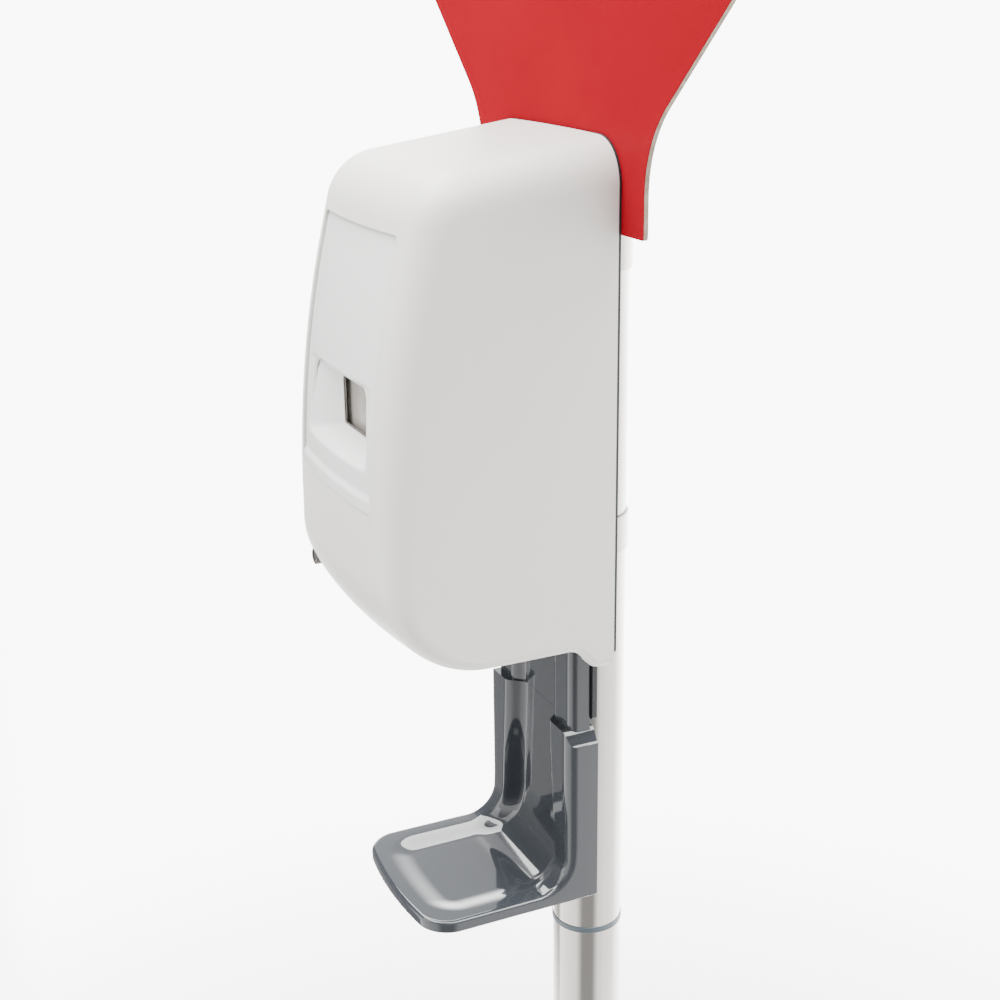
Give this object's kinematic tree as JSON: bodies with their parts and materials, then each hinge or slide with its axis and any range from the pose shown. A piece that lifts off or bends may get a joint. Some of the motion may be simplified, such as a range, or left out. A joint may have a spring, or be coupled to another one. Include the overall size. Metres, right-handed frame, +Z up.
{
  "type": "hand sanitizer floor stand",
  "caption": "Floor stand with a round base, steel pole, touch-free hand sanitizer dispenser with hinged cover, drip tray and flared sign panel.",
  "frame": {"origin": "on the floor at the pole's axis", "axes": "+Z up along the pole; the dispenser and the sign's face look along -Y; +X is on the right of someone who faces the sign from the front"},
  "size_m": [0.38, 0.35, 1.59],
  "materials": {
    "satin_steel": "satin, brushed along the tube",
    "ring_grey": "satin",
    "foot_rubber": "matt",
    "zinc_steel": "zinc plated",
    "spigot_aluminium": "turned",
    "clamp_steel": "satin",
    "sign_red": "glossy laminate over fibreboard",
    "plate_black": "black powder coat",
    "cover_white": "fine satin moulding",
    "panel_white": "gloss",
    "window_clear": "clear moulded plastic",
    "chassis_grey": "satin moulding",
    "gear_acetal": "natural acetal",
    "refill_plastic": "translucent bottle full of gel",
    "pump_plastic": "gloss",
    "board_green": "solder mask",
    "cell_jacket": "printed sleeve, plain",
    "lens_dark": "infrared window",
    "tray_grey": "gloss",
    "lock_chrome": "polished"
  },
  "bodies": {
    "stand": {"base_plate": "satin_steel", "rubber_feet": "foot_rubber", "base_bolt": "zinc_steel", "foot_collar": "satin_steel", "foot_plug": "zinc_steel", "lower_tube": "satin_steel", "joint_spigot": "spigot_aluminium", "joint_ring": "ring_grey", "upper_tube": "satin_steel", "top_fitting": "satin_steel", "sign_panel": "sign_red", "sign_screws": "zinc_steel", "back_plate": "plate_black", "lower_clamp": "clamp_steel", "clamp_screws": "zinc_steel", "clamp_nuts": "zinc_steel", "chassis": "chassis_grey", "drive_cover": "chassis_grey", "hinge_pins": "zinc_steel", "refill_bottle": "refill_plastic", "pump_cylinder": "pump_plastic", "guide_rods": "zinc_steel", "gear_axle": "zinc_steel", "gear_bracket": "zinc_steel", "motor": "zinc_steel", "battery_box": "chassis_grey", "batteries": "cell_jacket", "battery_lid": "chassis_grey", "circuit_board": "board_green", "sensor_lens": "lens_dark"},
    "cover": {"cover": "cover_white", "front_panel": "panel_white", "sight_window": "window_clear"},
    "lock": {"lock_barrel": "lock_chrome", "lock_cam": "lock_chrome"},
    "drive_gear": {"drive_gear": "gear_acetal"},
    "motor_pinion": {"motor_pinion": "gear_acetal"},
    "pusher": {"pump_pusher": "gear_acetal", "pump_nozzle": "pump_plastic"},
    "tray": {"drip_tray": "tray_grey"}
  },
  "joints": [
    {"name": "cover_swing", "type": "hinge", "parent": "stand", "child": "cover", "pos_m": [0, -0.029, 1.0385], "axis": [1, 0, 0], "range_deg": [0, 80]},
    {"name": "lock_turn", "type": "hinge", "parent": "cover", "child": "lock", "pos_m": [-0.0485, -0.118, 1.07], "axis": [0, -1, 0], "range_deg": [0, 90]},
    {"name": "gear_spin", "type": "hinge", "parent": "stand", "child": "drive_gear", "pos_m": [0, -0.044, 1.07], "axis": [-1, 0, 0], "range_deg": [0, 35]},
    {"name": "pinion_spin", "type": "hinge", "parent": "stand", "child": "motor_pinion", "pos_m": [0, -0.044, 1.091], "axis": [-1, 0, 0], "range_deg": [-90, 0]},
    {"name": "pusher_lift", "type": "slide", "parent": "stand", "child": "pusher", "axis": [0, 0, 1], "range_m": [0, 0.0095]},
    {"name": "tray_slide", "type": "slide", "parent": "stand", "child": "tray", "axis": [0, 0, -1], "range_m": [0, 0.06]}
  ],
  "couplings": [
    {"joint": "pusher_lift", "follows": "gear_spin", "m_per_rad": 0.015},
    {"joint": "pinion_spin", "follows": "gear_spin", "ratio": -2.5}
  ]
}
